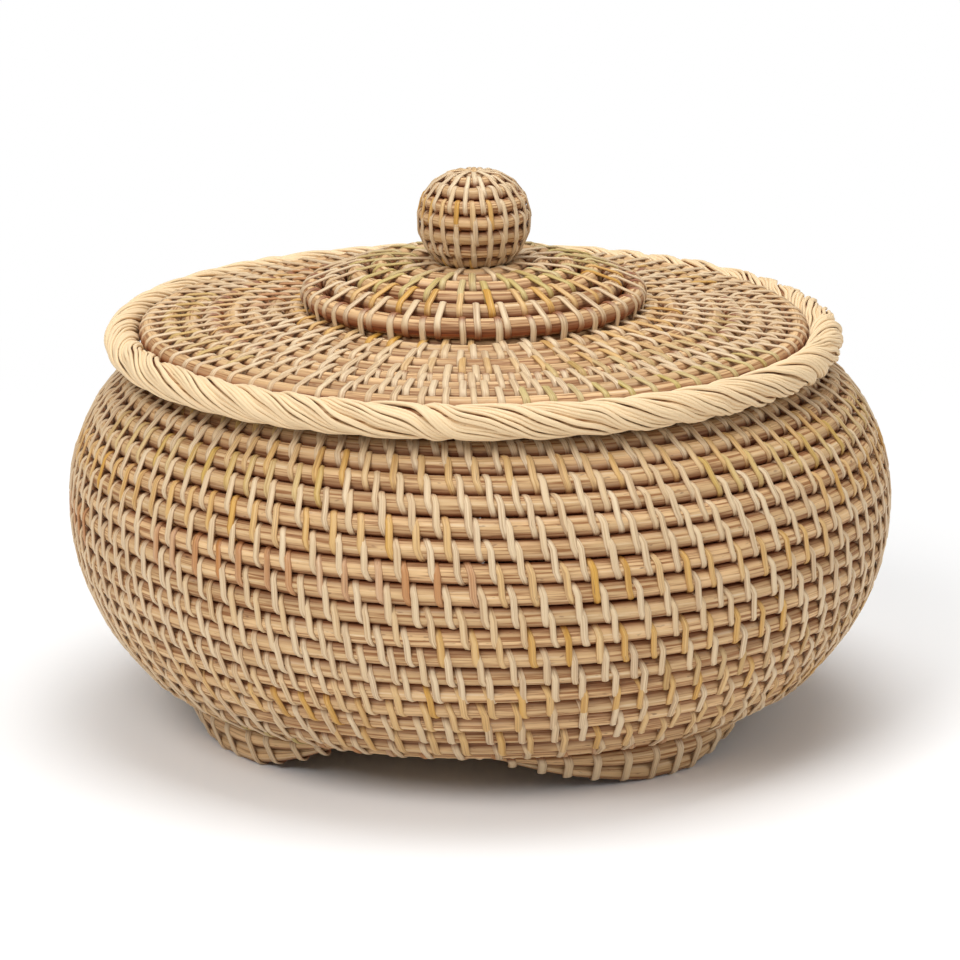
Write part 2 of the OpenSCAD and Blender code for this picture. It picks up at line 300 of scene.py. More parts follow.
def strips_tree():
    """Strips of split cane bound round pairs of rods; each point is one row of them."""
    tree, points, values = new_tree("Binding Strips", {
        "Rod Radius": "Float", "Strip Width": "Float", "Strip Thickness": "Float", "Crown": "Float",
        "Lean": "Float", "Unevenness": "Float", "Drift": "Float", "Stray": "Float", "Same Strip": "Float",
        "Tip Share": "Float", "Tip Reach": "Float", "Arc Steps": "Int", "Sides": "Int",
        "Seed": "Int", "Rod Seed": "Int", "Material": "Material"})
    node = add(tree, "GeometryNodeDuplicateElements", {"Geometry": points, "Amount": named(tree, "count", "INT")},
               domain="POINT")
    points = Field(tree, node.outputs["Geometry"])
    points = stored(tree, points, "turn", Field(tree, node.outputs["Duplicate Index"]))
    arc = values["Arc Steps"]
    total = arc * 2 + 2
    real, u, v = spread_grids(tree, points, total, values["Sides"])

    number = named(tree, "number")
    turn = named(tree, "turn")
    count = named(tree, "count", "INT")
    start = named(tree, "start")
    sweep = named(tree, "sweep")
    who = number * ROWS_APART + turn
    seed = values["Seed"]
    uneven = values["Unevenness"]
    step = (turn + named(tree, "phase") + chance(tree, -0.5, 0.5, who, seed) * uneven) / count
    direction = start + step * sweep
    direction = direction - values["Drift"] * (direction - FRONT).cosine()

    rod_seed = values["Rod Seed"]
    near = strayed(tree, named(tree, "from", "FLOAT_VECTOR"), number, direction, values["Stray"], rod_seed)
    far = strayed(tree, named(tree, "to", "FLOAT_VECTOR"), number + 1, direction, values["Stray"], rod_seed)
    left = thinned(direction, start, sweep, values["Tip Share"], values["Tip Reach"])
    rise = (1 - left) * values["Rod Radius"]
    near_z = near[2] + rise * named(tree, "rise")
    far_z = far[2] + rise * named(tree, "rise_to")
    run_r = far[1] - near[1]
    run_z = far_z - near_z
    run = (run_r * run_r + run_z * run_z).root().at_least(WELD)
    down_r = run_r / run
    down_z = run_z / run

    steps = u * total
    bend = (steps / arc).clamped() * math.pi + ((steps - arc - 1) / arc).clamped() * math.pi
    slide = (steps - arc).clamped() - (steps - arc * 2 - 1).clamped()
    back_and_forth = 0.5 - ((u - arc / 2 / total).fraction() * 2 - 1).size()
    out_r = down_z * bend.cosine() - down_r * bend.sine()
    out_z = -down_r * bend.cosine() - down_z * bend.sine()

    around = v * -TAU
    wide = chance(tree, -1.0, 1.0, who, seed + 11) * uneven
    half_width = values["Strip Width"] / 2 * (1 + wide * 0.45)
    cos_v = around.cosine()
    sin_v = around.sine()
    across = cos_v.sign() * cos_v.size() ** 0.55
    thick = values["Strip Thickness"] / 2
    hill = (1 - across * across) * (sin_v.sign() + 1) * 0.5 * values["Crown"]
    height = sin_v.sign() * sin_v.size() ** 0.7 * thick + hill
    pressed = chance(tree, -0.4, 0.6, who, seed + 17) * thick
    stand = values["Rod Radius"] * left + thick + pressed + height

    radius = near[1].towards(far[1], slide) + out_r * stand
    level = near_z.towards(far_z, slide) + out_z * stand
    hand = 1 + (direction - FRONT).sine() * 0.35
    lean = values["Lean"] * hand * (1 + chance(tree, -1.0, 1.0, who, seed + 23) * uneven * 1.2)
    aside = back_and_forth * lean + across * half_width
    heading = direction + aside / radius.at_least(0.002)
    axis = near[0].towards(far[0], slide)
    spot = vector(tree, axis + radius * heading.cosine(), radius * heading.sine(), level)
    shaped = result(tree, "GeometryNodeSetPosition", {"Geometry": real, "Position": spot})

    tint = chance(tree, 0.0, 1.0, who, seed + 31)
    pattern = vector(tree, u * 0.03 + tint * 7, v)
    shaped = stored(tree, shaped, "UVMap", pattern, "FLOAT2", "CORNER")
    # Painted shade: darker where a strip dives into the gap between rods, and along its two edges.
    painted_gap_shade = (bend.cosine() * 1.15 + 1.15).clamped() ** 2
    edge = (across * across) ** 3 * 0.45
    shaped = stored(tree, shaped, "shade", painted_gap_shade.at_least(edge))
    shaped = stored(tree, shaped, "tint", tint)
    length_of_cane = (turn / values["Same Strip"] + chance(tree, 0.0, 1.0, number, seed + 41)).floor()
    tone = chance(tree, 0.0, 1.0, number * 37 + length_of_cane, seed + 43)
    shaped = stored(tree, shaped, "tone", tone)
    return close_up(tree, shaped, values)


def roped_tree():
    """Strands laid side by side and twisted round a ring, in bundles."""
    tree, points, values = new_tree("Roped Rim", {
        "Rim Radius": "Float", "Strands": "Int", "Turns": "Float", "Bundles": "Float", "Bundle Depth": "Float",
        "Strand Width": "Float", "Strand Thickness": "Float", "Unevenness": "Float",
        "Segments": "Int", "Sides": "Int", "Seed": "Int", "Material": "Material"})
    node = add(tree, "GeometryNodeDuplicateElements", {"Geometry": points, "Amount": values["Strands"]},
               domain="POINT")
    points = Field(tree, node.outputs["Geometry"])
    points = stored(tree, points, "turn", Field(tree, node.outputs["Duplicate Index"]))
    real, u, v = spread_grids(tree, points, values["Segments"], values["Sides"])
    turn = named(tree, "turn")
    axis, ring, height = named(tree, "from", "FLOAT_VECTOR").parts()
    seed = values["Seed"]
    uneven = values["Unevenness"]
    direction = u * TAU + BACK
    circle = vector(tree, direction.cosine(), direction.sine())
    sway, swell, lift = noise(tree, circle, turn * 5.3 + seed, 6.0, 2.0, "Color").parts()
    wave, _, _ = noise(tree, circle, seed + 0.5, 5.0, 1.0, "Color").parts()
    spot_round = (turn + (sway - 0.5) * uneven * 2.4 + chance(tree, -0.4, 0.4, turn, seed)) / values["Strands"]
    twist = spot_round * TAU - direction * values["Turns"] + (wave - 0.5) * 2.2
    bundle = (spot_round * values["Bundles"]).fraction() * 2 - 1
    hollow = bundle * bundle
    slant = values["Rim Radius"] * values["Turns"] / ring
    straight = 1 / (slant * slant + 1).root()

    around = v * -TAU
    cos_v = around.cosine()
    sin_v = around.sine()
    across = cos_v.sign() * cos_v.size() ** 0.6
    half_width = values["Strand Width"] / 2 * (1 + (swell - 0.5) * uneven * 3)
    thick = values["Strand Thickness"] / 2
    stand = values["Rim Radius"] - thick - hollow * values["Bundle Depth"] + (lift - 0.5) * thick * 1.6
    stand = stand + sin_v * thick
    on_side = across * half_width
    psi = twist + on_side * straight / stand
    reach = ring + stand * psi.cosine()
    heading = direction + on_side * slant * straight / reach
    spot = vector(tree, axis + reach * heading.cosine(), reach * heading.sine(), height + stand * psi.sine())
    shaped = result(tree, "GeometryNodeSetPosition", {"Geometry": real, "Position": spot})
    pattern = vector(tree, u * ring * TAU + turn * 0.77, v)
    shaped = stored(tree, shaped, "UVMap", pattern, "FLOAT2", "CORNER")
    tint = chance(tree, 0.0, 1.0, turn, seed + 3)
    shaped = stored(tree, shaped, "tint", tint)
    # Painted shade: darker along the edges of each strand and in the hollows between bundles.
    edge = (across * across) ** 2 * 0.8
    shaped = stored(tree, shaped, "shade", edge.at_least(hollow * hollow * 0.5))
    drift = noise(tree, circle, turn * 2.9 + seed + 9, 3.0, 2.0)
    shaped = stored(tree, shaped, "tone", (drift * 1.6 - 0.3).clamped())
    return close_up(tree, shaped, values)


def tree_named(name, make):
    return bpy.data.node_groups.get(name) or make()


def grow(name, tree, rows, settings):
    """A piece grown by a tree from rows, each of them one point that carries its values."""
    seeds = bpy.data.meshes.new(name)
    seeds.vertices.add(len(rows))
    for key, value in rows[0].items():
        kind = "FLOAT_VECTOR" if isinstance(value, tuple) else "INT" if isinstance(value, int) else "FLOAT"
        attribute = seeds.attributes.new(key, kind, "POINT")
        flat = [part for row in rows for part in (row[key] if kind == "FLOAT_VECTOR" else [row[key]])]
        attribute.data.foreach_set("vector" if kind == "FLOAT_VECTOR" else "value", flat)
    holder = bpy.data.objects.new(name + "_seeds", seeds)
    bpy.context.scene.collection.objects.link(holder)
    modifier = holder.modifiers.new("Grow", "NODES")
    modifier.node_group = tree
    for item in tree.interface.items_tree:
        if item.name in settings:
            modifier[item.identifier] = settings[item.name]
    graph = bpy.context.evaluated_depsgraph_get()
    mesh = bpy.data.meshes.new_from_object(holder.evaluated_get(graph), preserve_all_data_layers=True,
                                           depsgraph=graph)
    holder.modifiers.remove(modifier)
    bpy.data.objects.remove(holder)
    bpy.data.meshes.remove(seeds)
    for spare in [a.name for a in mesh.attributes if a.name not in KEPT_ATTRIBUTES and not a.is_internal]:
        if not mesh.attributes[spare].is_required:
            mesh.attributes.remove(mesh.attributes[spare])
    for slot in reversed(range(len(mesh.materials))):
        if mesh.materials[slot] is None:
            mesh.materials.pop(index=slot)
    mesh.name = name
    piece = bpy.data.objects.new(name, mesh)
    bpy.context.scene.collection.objects.link(piece)
    return piece


def rod_row(place, number, lay, start=BACK, sweep=TAU, rise=0.0):
    """A rod bent to an arc or a full ring; lay is the heading of its neighbours across the section."""
    return {"from": place, "number": float(number), "lay": float(lay), "start": float(start),
            "sweep": float(sweep), "rise": float(rise)}


def ring_rows(places, first_number):
    """Full rings beside each other, each laid along the line from its last to its next neighbour."""
    rows = []
    for i, place in enumerate(places):
        before, after = places[max(0, i - 1)], places[min(len(places) - 1, i + 1)]
        lay = math.atan2(after[2] - before[2], after[1] - before[1])
        rows.append(rod_row(place, first_number + i, lay))
    return rows


def strip_row(near, far, number, count, phase, start=BACK, sweep=TAU, rise=0.0, rise_to=0.0):
    """A row of strips round two neighbouring rods, from the upper or inner one."""
    return {"from": near, "to": far, "number": float(number), "count": int(count), "phase": float(phase),
            "start": float(start), "sweep": float(sweep), "rise": float(rise), "rise_to": float(rise_to)}


def hand_over(piece, body, nodes):
    """Lets a piece ride on its body and stand for nodes of the model."""
    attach(piece, body)
    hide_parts(*nodes)


# ---------------------------------------------------------------- settings

def length(title, text, default, **limits):
    return bpy.props.FloatProperty(name=title, description=text, default=default, unit="LENGTH", precision=5,
                                   min=limits.get("low", 0.0), max=limits.get("high", 1.0))


def share(title, text, default, high=1.0, low=0.0):
    return bpy.props.FloatProperty(name=title, description=text, default=default, min=low, max=high)


def number_of(title, text, default, low=1, high=400):
    return bpy.props.IntProperty(name=title, description=text, default=default, min=low, max=high)


def colour(title, text, default):
    return bpy.props.FloatVectorProperty(name=title, description=text, default=default, subtype="COLOR",
                                         size=3, min=0.0, max=1.0)


class CaneSettings(bpy.types.PropertyGroup):
    """Sizes that all rods and strips share"""
    stray: length("Stray", "How far a rod wanders off its course", 0.00022)
    rod_unevenness: share("Rod unevenness", "How much a rod's thickness varies", 0.14)
    plump: share("Plumpness", "Size of a rod beside the model's, where soft cane fills its course", 1.12, 1.2, 1.0)
    strip_width: length("Strip width", "Width of the binding strips", 0.00255)
    strip_thickness: length("Strip thickness", "Thickness of the binding strips", 0.00070)
    crown: length("Crown", "How far the outer face of a strip stands above its edges", 0.00022)
    unevenness: share("Unevenness", "How much strips differ in place, lean and width", 0.22)
    same_strip: share("Same strip", "Turns bound with one length of cane", 13.0, 60.0)
    rod_segments: number_of("Rod segments", "Segments round a ring", 220)
    rod_sides: number_of("Rod sides", "Sides of a rod's round", 12)
    arc_steps: number_of("Arc steps", "Segments of a strip round one rod", 7)
    strip_sides: number_of("Strip sides", "Sides of a strip's section", 8)


class WallSettings(bpy.types.PropertyGroup):
    """The basket's wall, base and feet"""
    strips_round: number_of("Strips round", "Strips round each row of the wall", 88)
    strip_step: share("Step", "How far each row of strips sits past the row before", 0.35)
    lean: length("Lean", "How far a strip runs along the wall from its top to its bottom", 0.0044)
    drift: share("Drift", "How the spacing of strips changes round the basket", 0.08)
    hip_rows: number_of("Hip rows", "Lowest rows of the wall, where strips get fewer", 6)
    hip_loss: share("Hip loss", "Share of strips that each of those rows has fewer", 0.055)
    base_spacing: length("Base spacing", "Distance between strips of the base", 0.0098)
    foot_spacing: length("Foot spacing", "Distance between wraps of the feet", 0.0052)
    foot_strip_width: length("Foot strip width", "Width of the strips round the feet", 0.0031)
    foot_tip: share("Foot tip", "Share of its thickness that a foot's rod keeps at its thin end", 0.12)
    foot_reach: bpy.props.FloatProperty(name="Foot reach", description="Length of a foot's thin end",
                                        default=math.radians(30), subtype="ANGLE")


class LidSettings(bpy.types.PropertyGroup):
    """The lid with its rim and raised disc"""
    spacing: length("Spacing", "Distance between strips at the lid's outer row", 0.0088)
    inner_spacing: length("Inner spacing", "Distance between strips at the lid's inner row", 0.0092)
    lean: length("Lean", "How far a strip runs round the lid from its inner to its outer end", 0.0012)
    disc_spacing: length("Disc spacing", "Distance between strips at the disc's edge", 0.0122)
    strands: number_of("Strands", "Strands twisted round the rim", 24)
    rim_turns: share("Rim turns", "Turns of the strands round the rim, over the whole ring", 11.0, 40.0)
    bundles: share("Bundles", "Bundles that the strands lie in", 4.0, 12.0)
    bundle_depth: length("Bundle depth", "Depth of the hollow between two bundles", 0.0017)
    strand_thickness: length("Strand thickness", "Thickness of a strand of the rim", 0.0013)


class KnobSettings(bpy.types.PropertyGroup):
    """The knob"""
    strips_round: number_of("Strips round", "Strips round the knob's widest row", 22)
    strip_width: length("Strip width", "Width of the knob's strips", 0.0019)
    strip_thickness: length("Strip thickness", "Thickness of the knob's strips", 0.00055)
    lean: length("Lean", "How far a strip runs round the knob from its top to its bottom", 0.0012)


class ColourSettings(bpy.types.PropertyGroup):
    """Colours of the cane"""
    core: colour("Rod", "Peeled rattan rod", (0.63, 0.41, 0.20))
    core_dark: colour("Rod grain", "Grain lines of the rod", (0.24, 0.08, 0.014))
    strip: colour("Strip", "Most of the binding strips", (0.68, 0.50, 0.29))
    strip_pale: colour("Pale strip", "The palest strips", (0.82, 0.69, 0.49))
    golden: colour("Golden strip", "Strips cut from golden cane", (0.62, 0.33, 0.045))
    olive: colour("Olive strip", "Strips cut from greenish cane", (0.50, 0.38, 0.10))
    russet: colour("Russet strip", "Strips cut from brown cane", (0.48, 0.19, 0.04))
    rim: colour("Rim", "Pale strands of the rim", (0.62, 0.38, 0.14))
    rim_warm: colour("Warm rim", "Orange strands of the rim", (0.66, 0.36, 0.13))
    knot: colour("Stain", "Dark specks and stains", (0.16, 0.07, 0.03))
    # Painted shade, with some stain in the rods' creases: a tint multiplied in where the shade attribute marks
    # creases, gaps and edges.
    groove_shade_and_stain: colour("Groove", "Tint of what lies deep between the rods", (0.32, 0.09, 0.012))


class StageSettings(bpy.types.PropertyGroup):
    """Floor, lights and camera"""
    elevation: bpy.props.FloatProperty(name="Elevation", description="Height of the view above the horizon",
                                       default=math.radians(15.1), subtype="ANGLE")
    distance: length("Distance", "From the camera to the basket's axis", 1.831, high=10.0)
    aim_height: length("Aim height", "Height on the axis that the camera looks at", 0.0864)
    lens: share("Lens", "Focal length in millimetres on a 36 mm sensor", 187.5, 400.0, 20.0)
    key: share("Key light", "Power of the large lamp over the left front", 24.0, 500.0)
    top: share("Top light", "Power of the lamp overhead", 20.0, 500.0)
    fill: share("Fill light", "Power of the lamp to the right", 6.0, 500.0)
    sky: share("Sky", "Strength of the light from all round", 0.30, 5.0)


SETTINGS = {"cane": CaneSettings, "wall": WallSettings, "lid": LidSettings, "knob": KnobSettings,
            "colours": ColourSettings, "stage": StageSettings}


def setting(group):
    return getattr(bpy.context.scene, "basket_" + group)


# ---------------------------------------------------------------- materials

def ramp(tree, factor, stops, output="Color", interpolation="LINEAR"):
    """Colours along a factor; each stop is a place and a colour."""
    node = add(tree, "ShaderNodeValToRGB", {0: factor})
    node.color_ramp.interpolation = interpolation
    for place, _ in stops[2:]:
        node.color_ramp.elements.new(place)
    for element, (place, shade) in zip(node.color_ramp.elements, stops):
        element.position = place
        element.color = (*shade, 1.0)
    return Field(tree, node.outputs[output])


def mixed(tree, factor, first, second, blend="MIX"):
    """Two colours in one; either may be a plain colour."""
    node = tree.nodes.new("ShaderNodeMix")
    node.data_type = "RGBA"
    node.blend_type = blend
    slots = [slot for slot in node.inputs if slot.enabled]
    for slot, value in zip(slots, (factor, first, second)):
        feed(tree, slot, value if isinstance(value, (Field, float)) else (*value, 1.0))
    return Field(tree, next(slot for slot in node.outputs if slot.enabled))


def cane_material(name, base, dark, grain_round, grain_along, line_share, painted_shade_share, roughness, bump):
    """Cane with grain lines along it and painted shade in its creases and edges; base is a function that gives the
    ground colour.
    """
    material = bpy.data.materials.new(name)
    material.use_nodes = True
    tree = material.node_tree
    shader = tree.nodes["Principled BSDF"]
    along, around, _ = result(tree, "ShaderNodeUVMap", uv_map="UVMap").parts()
    tint = result(tree, "ShaderNodeAttribute", output="Fac", attribute_name="tint")
    tone = result(tree, "ShaderNodeAttribute", output="Fac", attribute_name="tone")
    turn = around * TAU
    lines_at = vector(tree, along * grain_along, turn.cosine() * grain_round, turn.sine() * grain_round)
    lines = noise(tree, lines_at, tint * 9, 1.0, 3.0, roughness=0.62)
    cloud_at = vector(tree, along * 34, turn.cosine() * 0.8, turn.sine() * 0.8)
    cloud = noise(tree, cloud_at, tint * 5 + 3, 1.0, 3.0)
    speck_at = vector(tree, along * 260, turn.cosine() * 3, turn.sine() * 3)
    speck = noise(tree, speck_at, tint * 7 + 5, 1.0, 1.0)
    ground = base(tree, tone, tint, cloud)
    line_mask = ((0.51 - lines) * 8).clamped() * line_share
    lined = mixed(tree, line_mask, ground, dark)
    shine_mask = ((lines - 0.56) * 7).clamped() * line_share * 0.6
    lined = mixed(tree, shine_mask, lined, tuple(setting("colours").strip_pale))
    specked = mixed(tree, ((speck - 0.67) * 9).clamped() * 0.7, lined, tuple(setting("colours").knot))
    # Painted shade: the shade attribute multiplies the groove tint into creases between rods, gaps and the edges of
    # strips and strands.
    shade = result(tree, "ShaderNodeAttribute", output="Fac", attribute_name="shade")
    groove_shade_and_stain = mixed(tree, shade * painted_shade_share, specked, tuple(setting("colours").groove_shade_and_stain), "MULTIPLY")
    tree.links.new(groove_shade_and_stain.socket, shader.inputs["Base Color"])
    raised = add(tree, "ShaderNodeBump", {"Height": lines, "Strength": bump, "Distance": 0.00035})
    tree.links.new(raised.outputs["Normal"], shader.inputs["Normal"])
    shader.inputs["Roughness"].default_value = roughness
    shader.inputs["Specular IOR Level"].default_value = 0.4
    return material


def rod_material():
    shades = setting("colours")
    core = tuple(shades.core)
    dark = tuple(shades.core_dark)

    def ground(tree, tone, tint, cloud):
        pale = tuple(min(1.0, part * 1.22 + 0.02) for part in core)
        deep = tuple(part * 0.80 for part in core)
        shade = ramp(tree, cloud * 0.75 + tint * 0.25, [(0.25, deep), (0.5, core), (0.72, pale)])
        return shade

    return cane_material("peeled_rod", ground, dark, 3.4, 26, 0.85, 1.0, 0.62, 0.7)


def strip_material():
    shades = setting("colours")

    def ground(tree, tone, tint, cloud):
        strip = tuple(shades.strip)
        kinds = [(0.0, strip), (0.70, strip), (0.76, tuple(shades.golden)), (0.83, tuple(shades.golden)),
                 (0.86, tuple(shades.olive)), (0.93, tuple(shades.olive)), (0.95, tuple(shades.russet)),
                 (1.0, tuple(shades.russet))]
        kind = ramp(tree, tone, kinds)
        lightness = ((cloud * 0.6 + tint * 0.4) * 1.9 - 0.45).clamped()
        return mixed(tree, lightness * 0.45, kind, tuple(shades.strip_pale))

    return cane_material("split_cane", ground, tuple(shades.core_dark), 2.6, 40, 0.42, 0.9, 0.45, 0.35)


def rim_material():
    shades = setting("colours")

    def ground(tree, tone, tint, cloud):
        warm = ramp(tree, tone, [(0.30, tuple(shades.rim)), (0.75, tuple(shades.rim_warm))])
        return mixed(tree, (cloud * 1.8 - 0.6).clamped() * 0.6, warm, tuple(shades.rim))

    return cane_material("rim_cane", ground, tuple(shades.core_dark), 2.4, 30, 0.6, 0.9, 0.5, 0.5)


def material_named(name):
    makers = {"peeled_rod": rod_material, "split_cane": strip_material, "rim_cane": rim_material}
    return bpy.data.materials.get(name) or makers[name]()


# ---------------------------------------------------------------- growing rods and strips

def grow_rods(name, rows, rod_radius, segments=None, sides=None, tip=1.0, reach=1.0, stray=None):
    cane = setting("cane")
    return grow(name, tree_named("Bent Rods", rods_tree), rows, {
        "Rod Radius": rod_radius * cane.plump, "Stray": cane.stray if stray is None else stray,
        "Unevenness": cane.rod_unevenness, "Segments": segments or cane.rod_segments,
        "Sides": sides or cane.rod_sides, "Tip Share": tip, "Tip Reach": reach, "Seed": 5,
        "Material": material_named("peeled_rod")})


def grow_strips(name, rows, rod_radius, seed, **changes):
    cane = setting("cane")
    settings = {
        "Rod Radius": rod_radius + 0.00003, "Strip Width": cane.strip_width,
        "Strip Thickness": cane.strip_thickness, "Crown": cane.crown, "Lean": setting("wall").lean,
        "Unevenness": cane.unevenness, "Drift": 0.0, "Stray": cane.stray, "Same Strip": cane.same_strip,
        "Tip Share": 1.0, "Tip Reach": 1.0, "Arc Steps": cane.arc_steps, "Sides": cane.strip_sides,
        "Seed": seed, "Rod Seed": 5, "Material": material_named("split_cane")}
    settings.update(changes)
    return grow(name, tree_named("Binding Strips", strips_tree), rows, settings)


WALL_NODES = sorted(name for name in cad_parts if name.startswith("wall_coil_"))
WALL = courses(*WALL_NODES)
BASE = courses("base_coils")
LID = courses("lid_coils")[::-1]
DISC = courses("disc_coils")[::-1] + courses("disc_edge_coil")
KNOB = sorted(courses("knob_coils"), key=lambda ring: -ring[2]) + courses("neck_coil")
ROD = rod_radius_of("wall_coil_01")
KNOB_ROD = rod_radius_of("neck_coil")
WALL_GROUPS = {"mouth_binding": (0, 2), "shoulder_binding": (2, 9), "belly_binding": (9, 14),
               "hip_binding": (14, 20)}


def wall_strip_count(row):
    """Strips of a row of the wall, fewer at the hip."""
    wall = setting("wall")
    last = len(WALL) - 2
    below = max(0, row - (last - wall.hip_rows))
    return round(wall.strips_round * (1 - wall.hip_loss * below))


class BASKET_OT_wall_rods(bpy.types.Operator):
    """Bend the rods of the wall"""
    bl_idname = "basket.wall_rods"
    bl_label = "Wall rods"

    def execute(self, context):
        halves = {"wall_rods_upper": (0, 11), "wall_rods_lower": (11, len(WALL))}
        for name, (first, end) in halves.items():
            piece = grow_rods(name, ring_rows(WALL, 0)[first:end], ROD)
            hand_over(piece, "basket", WALL_NODES[first:end])
        return {"FINISHED"}


class BASKET_OT_wall_strips(bpy.types.Operator):
    """Bind the rods of the wall"""
    bl_idname = "basket.wall_strips"
    bl_label = "Wall strips"

    def execute(self, context):
        wall = setting("wall")
        for node, (first, end) in WALL_GROUPS.items():
            rows = [strip_row(WALL[i], WALL[i + 1], i, wall_strip_count(i), wall.strip_step * i)
                    for i in range(first, end)]
            piece = grow_strips(node + "_strips", rows, ROD, 100, Drift=wall.drift)
            hand_over(piece, "basket", [node])
        return {"FINISHED"}


class BASKET_OT_base(bpy.types.Operator):
    """Coil and bind the base"""
    bl_idname = "basket.base"
    bl_label = "Base"

    def execute(self, context):
        wall = setting("wall")
        first = len(WALL)
        rods = grow_rods("base_rods", ring_rows(BASE, first), ROD, segments=120)
        hand_over(rods, "basket", ["base_coils", "base_centre_plug"])
        whole = [WALL[-1], *BASE]
        rows = []
        for i, (outer, inner) in enumerate(zip(whole, whole[1:])):
            count = max(5, round(TAU * inner[1] / wall.base_spacing))
            rows.append(strip_row(outer, inner, first - 1 + i, count, wall.strip_step * i))
        strips = grow_strips("base_strips", rows, ROD, 200, Lean=0.0012)
        hand_over(strips, "basket", ["base_binding"])
        return {"FINISHED"}


class BASKET_OT_feet(bpy.types.Operator):
    """Bend the rods of the feet and wrap them"""
    bl_idname = "basket.feet"
    bl_label = "Feet"

    def execute(self, context):
        wall = setting("wall")
        for foot in range(1, 5):
            rod_nodes = [f"foot_{foot}_upper_rod", f"foot_{foot}_lower_rod"]
            upper, start, sweep = arc_of(rod_nodes[0])
            lower, _, _ = arc_of(rod_nodes[1])
            number = 60 + 4 * foot
            rows = [rod_row(upper, number, BACK, start, sweep, 1.0),
                    rod_row(lower, number + 1, BACK, start, sweep, 3.0)]
            rods = grow_rods(f"foot_{foot}_rods", rows, ROD, segments=64, tip=wall.foot_tip,
                             reach=wall.foot_reach)
            hand_over(rods, "basket", rod_nodes)
            count = round(sweep * upper[1] / wall.foot_spacing / 2)
            rows = [strip_row(upper, lower, number, count, 0.5, start, sweep, 1.0, 3.0)]
            strips = grow_strips(f"foot_{foot}_wraps", rows, ROD, 300 + foot,
                                 **{"Strip Width": wall.foot_strip_width, "Tip Share": wall.foot_tip,
                                    "Tip Reach": wall.foot_reach, "Lean": 0.0016})
            hand_over(strips, "basket", [f"foot_{foot}_binding"])
        return {"FINISHED"}


class BASKET_OT_lid(bpy.types.Operator):
    """Coil and bind the lid, with its locating course"""
    bl_idname = "basket.lid"
    bl_label = "Lid"

    def execute(self, context):
        lid = setting("lid")
        rods = grow_rods("lid_rods", ring_rows(LID, 100), ROD)
        hand_over(rods, "lid", ["lid_coils"])
        rows = []
        for i, (inner, outer) in enumerate(zip(LID, LID[1:])):
            spacing = lid.inner_spacing + (lid.spacing - lid.inner_spacing) * i / (len(LID) - 2)
            count = round(TAU * (inner[1] + outer[1]) / 2 / spacing)
            rows.append(strip_row(inner, outer, 100 + i, count, 0.5 * i))
        strips = grow_strips("lid_strips", rows, ROD, 400, Lean=lid.lean)
        hand_over(strips, "lid", ["lid_binding"])
        locating = courses("lid_locating_coil")
        rods = grow_rods("locating_rod", [rod_row(locating[0], 120, BACK)], ROD)
        hand_over(rods, "lid", ["lid_locating_coil"])
        host = min(LID, key=lambda ring: abs(ring[1] - locating[0][1]))
        rows = [strip_row(host, locating[0], 119, 64, 0.5)]
        strips = grow_strips("locating_strips", rows, ROD, 420, Lean=0.001)
        hand_over(strips, "lid", ["lid_locating_binding"])
        return {"FINISHED"}


class BASKET_OT_rim(bpy.types.Operator):
    """Twist the strands round the rim of the lid"""
    bl_idname = "basket.rim"
    bl_label = "Rim"

    def execute(self, context):
        lid = setting("lid")
        core = courses("lid_rim_core")[0]
        low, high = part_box("lid_rim_wrap")
        rim_radius = (high.z - low.z) / 2
        width = TAU * (rim_radius - lid.strand_thickness / 2) / lid.strands * 0.98
        strands = grow("rim_strands", tree_named("Roped Rim", roped_tree), [{"from": core}], {
            "Rim Radius": rim_radius + 0.0004, "Strands": lid.strands, "Turns": lid.rim_turns,
            "Bundles": lid.bundles, "Bundle Depth": lid.bundle_depth, "Strand Width": width,
            "Strand Thickness": lid.strand_thickness, "Unevenness": 0.45, "Segments": 420, "Sides": 7,
            "Seed": 12, "Material": material_named("rim_cane")})
        hand_over(strands, "lid", ["lid_rim_wrap"])
        inside = grow_rods("rim_core", [rod_row(core, 140, BACK)], rim_radius - lid.strand_thickness * 1.5)
        hand_over(inside, "lid", ["lid_rim_core"])
        return {"FINISHED"}


class BASKET_OT_disc(bpy.types.Operator):
    """Coil and bind the raised disc"""
    bl_idname = "basket.disc"
    bl_label = "Disc"

    def execute(self, context):
        lid = setting("lid")
        rods = grow_rods("disc_rods", ring_rows(DISC, 150), ROD, segments=140)
        hand_over(rods, "lid", ["disc_coils", "disc_edge_coil"])
        rows = []
        edge_count = round(TAU * DISC[-1][1] / lid.disc_spacing)
        for i, (inner, outer) in enumerate(zip(DISC, DISC[1:])):
            middle = (inner[1] + outer[1]) / 2
            count = max(9, min(edge_count, round(TAU * middle / 0.0095)))
            rows.append(strip_row(inner, outer, 150 + i, count, 0.5 * i))
        rows.append(strip_row(DISC[-1], LID[0], 150 + len(rows), edge_count, 0.5 * len(rows) + 0.18))
        strips = grow_strips("disc_strips", rows, ROD, 500, Lean=lid.lean)
        hand_over(strips, "lid", ["disc_binding"])
        return {"FINISHED"}


class BASKET_OT_knob(bpy.types.Operator):
    """Coil and bind the knob"""
    bl_idname = "basket.knob"
    bl_label = "Knob"

    def execute(self, context):
        knob = setting("knob")
        rods = grow_rods("knob_rods", ring_rows(KNOB, 170), KNOB_ROD, segments=72)
        hand_over(rods, "lid", ["knob_coils", "neck_coil", "knob_core"])
        widest = max(ring[1] for ring in KNOB)
        rows = []
        for i, (upper, lower) in enumerate(zip(KNOB, KNOB[1:])):
            middle = (upper[1] + lower[1]) / 2
            count = max(7, round(knob.strips_round * (middle / widest) ** 0.7))
            rows.append(strip_row(upper, lower, 170 + i, count, 0.5 * i))
        strips = grow_strips("knob_strips", rows, KNOB_ROD, 600, **{
            "Strip Width": knob.strip_width, "Strip Thickness": knob.strip_thickness, "Lean": knob.lean,
            "Crown": 0.00015})
        hand_over(strips, "lid", ["knob_binding"])
        return {"FINISHED"}


# ---------------------------------------------------------------- stage

